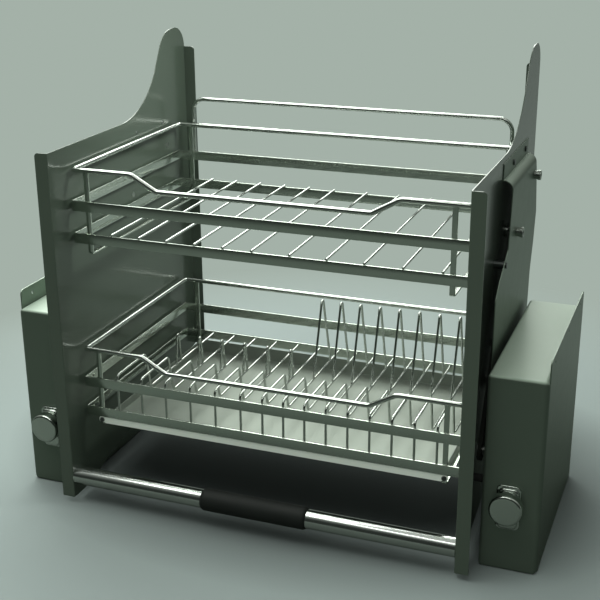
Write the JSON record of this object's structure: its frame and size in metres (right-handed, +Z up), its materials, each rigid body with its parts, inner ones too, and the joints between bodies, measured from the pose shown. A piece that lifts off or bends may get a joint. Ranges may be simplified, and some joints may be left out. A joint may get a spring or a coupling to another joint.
{
  "type": "pull-down dish rack",
  "caption": "Dish rack for a wall cupboard that swings forward and down on spring-helped arms, with an upper basket, a plate basket, a drip tray and a pull bar.",
  "frame": {"origin": "middle of the rack's width and depth, on the level that the wall boxes' undersides stand on", "axes": "+X to the right as seen by the user, +Y into the cupboard, +Z up"},
  "size_m": [0.864, 0.474, 0.7232],
  "materials": {
    "side_panel_paint": "gloss anthracite lacquer",
    "bracket_paint": "satin anthracite lacquer",
    "box_paint": "gloss anthracite lacquer",
    "wall_plate_zinc": "satin grey lacquer",
    "chrome_wire": "bright chrome",
    "chrome_bar": "bright chrome on flat bar",
    "tray_steel": "fine brushed stainless sheet",
    "handle_chrome": "bright chrome tube",
    "grip_foam": "dense black foam",
    "plug_plastic": "black moulded plugs with dark screws",
    "screw_steel": "dark plated steel",
    "pivot_steel": "dark plated bolt with a bright sleeve",
    "spacer_steel": "turned steel",
    "arm_steel": "satin anthracite lacquer",
    "shaft_steel": "ground steel",
    "bush_plastic": "natural bearing plastic",
    "bearing_plate_zinc": "zinc plated sheet",
    "buffer_rubber": "black rubber",
    "plaque_chrome": "bright chrome",
    "knob_chrome": "bright chrome",
    "gear_steel": "machined steel",
    "spring_steel": "oiled spring wire",
    "thread_steel": "rolled thread"
  },
  "bodies": {
    "wall_boxes": {"right_wall_plate": "wall_plate_zinc", "left_wall_plate": "wall_plate_zinc", "right_box_cover": "box_paint", "left_box_cover": "box_paint", "right_bearing_plate": "bearing_plate_zinc", "left_bearing_plate": "bearing_plate_zinc", "shaft_bushes": "bush_plastic", "plate_pillars": "spacer_steel", "cover_screws": "screw_steel", "arm_buffers": "buffer_rubber", "screw_supports": "bearing_plate_zinc", "knob_plaques": "plaque_chrome"},
    "rack_frame": {"right_side_panel": "side_panel_paint", "left_side_panel": "side_panel_paint", "right_pivot_bracket": "bracket_paint", "left_pivot_bracket": "bracket_paint", "pivot_fasteners": "pivot_steel", "bracket_spacers": "spacer_steel", "bracket_screws": "screw_steel", "basket_screws": "screw_steel", "upper_bands": "chrome_bar", "upper_rim": "chrome_wire", "upper_straps": "chrome_bar", "upper_floor_wires": "chrome_wire", "lower_bands": "chrome_bar", "lower_rim": "chrome_wire", "lower_straps": "chrome_bar", "plate_rack_wires": "chrome_wire", "plate_tines": "chrome_wire", "rear_hoop": "chrome_wire", "drip_tray": "tray_steel", "tray_screws": "screw_steel", "handle_tube": "handle_chrome", "handle_grip": "grip_foam", "handle_fasteners": "plug_plastic"},
    "right_front_arm": {"right_front_arm": "arm_steel", "right_front_eye_bush": "bush_plastic", "right_front_shaft": "shaft_steel", "right_pinion": "gear_steel"},
    "right_rear_arm": {"right_rear_arm": "arm_steel", "right_rear_eye_bush": "bush_plastic", "right_rear_shaft": "shaft_steel"},
    "right_spring_rack": {"right_spring_rack": "gear_steel"},
    "right_carriage": {"right_carriage": "gear_steel", "right_springs": "spring_steel"},
    "right_adjuster": {"right_adjusting_screw": "thread_steel", "right_knob": "knob_chrome"},
    "left_front_arm": {"left_front_arm": "arm_steel", "left_front_eye_bush": "bush_plastic", "left_front_shaft": "shaft_steel", "left_pinion": "gear_steel"},
    "left_rear_arm": {"left_rear_arm": "arm_steel", "left_rear_eye_bush": "bush_plastic", "left_rear_shaft": "shaft_steel"},
    "left_spring_rack": {"left_spring_rack": "gear_steel"},
    "left_carriage": {"left_carriage": "gear_steel", "left_springs": "spring_steel"},
    "left_adjuster": {"left_adjusting_screw": "thread_steel", "left_knob": "knob_chrome"}
  },
  "joints": [
    {"name": "main_swing", "type": "hinge", "parent": "wall_boxes", "child": "right_front_arm", "pos_m": [0.329, -0.123, 0.162], "axis": [1, 0, 0], "range_deg": [0, 122]},
    {"name": "rack_frame_pivot", "type": "hinge", "parent": "right_front_arm", "child": "rack_frame", "pos_m": [0.329, 0.022, 0.464], "axis": [1, 0, 0], "range_deg": [-122, 0]},
    {"name": "right_rear_arm_swing", "type": "hinge", "parent": "wall_boxes", "child": "right_rear_arm", "pos_m": [0.329, 0.009, 0.22], "axis": [1, 0, 0], "range_deg": [0, 122]},
    {"name": "right_rack_slide", "type": "slide", "parent": "wall_boxes", "child": "right_spring_rack", "axis": [0, 1, 0], "range_m": [0, 0.0513], "deforming": ["right_springs"]},
    {"name": "right_knob_turn", "type": "hinge", "parent": "wall_boxes", "child": "right_adjuster", "pos_m": [0.385, -0.211, 0.115], "axis": [0, 1, 0], "range_deg": [0, 1100]},
    {"name": "right_carriage_slide", "type": "slide", "parent": "wall_boxes", "child": "right_carriage", "axis": [0, 1, 0], "range_m": [-0.012, 0], "deforming": ["right_springs"]},
    {"name": "left_front_arm_swing", "type": "hinge", "parent": "wall_boxes", "child": "left_front_arm", "pos_m": [-0.329, -0.123, 0.162], "axis": [1, 0, 0], "range_deg": [0, 122]},
    {"name": "left_rear_arm_swing", "type": "hinge", "parent": "wall_boxes", "child": "left_rear_arm", "pos_m": [-0.329, 0.009, 0.22], "axis": [1, 0, 0], "range_deg": [0, 122]},
    {"name": "left_rack_slide", "type": "slide", "parent": "wall_boxes", "child": "left_spring_rack", "axis": [0, 1, 0], "range_m": [0, 0.0513], "deforming": ["left_springs"]},
    {"name": "left_knob_turn", "type": "hinge", "parent": "wall_boxes", "child": "left_adjuster", "pos_m": [-0.385, -0.211, 0.115], "axis": [0, 1, 0], "range_deg": [0, 1100]},
    {"name": "left_carriage_slide", "type": "slide", "parent": "wall_boxes", "child": "left_carriage", "axis": [0, 1, 0], "range_m": [-0.012, 0], "deforming": ["left_springs"]}
  ],
  "couplings": [
    {"joint": "rack_frame_pivot", "follows": "main_swing", "ratio": -1},
    {"joint": "right_rear_arm_swing", "follows": "main_swing", "ratio": 1},
    {"joint": "right_rack_slide", "follows": "main_swing", "m_per_rad": 0.024},
    {"joint": "right_knob_turn", "follows": "right_carriage_slide", "rad_per_m": -1570.8},
    {"joint": "left_front_arm_swing", "follows": "main_swing", "ratio": 1},
    {"joint": "left_rear_arm_swing", "follows": "main_swing", "ratio": 1},
    {"joint": "left_rack_slide", "follows": "main_swing", "m_per_rad": 0.024},
    {"joint": "left_knob_turn", "follows": "left_carriage_slide", "rad_per_m": -1570.8}
  ]
}
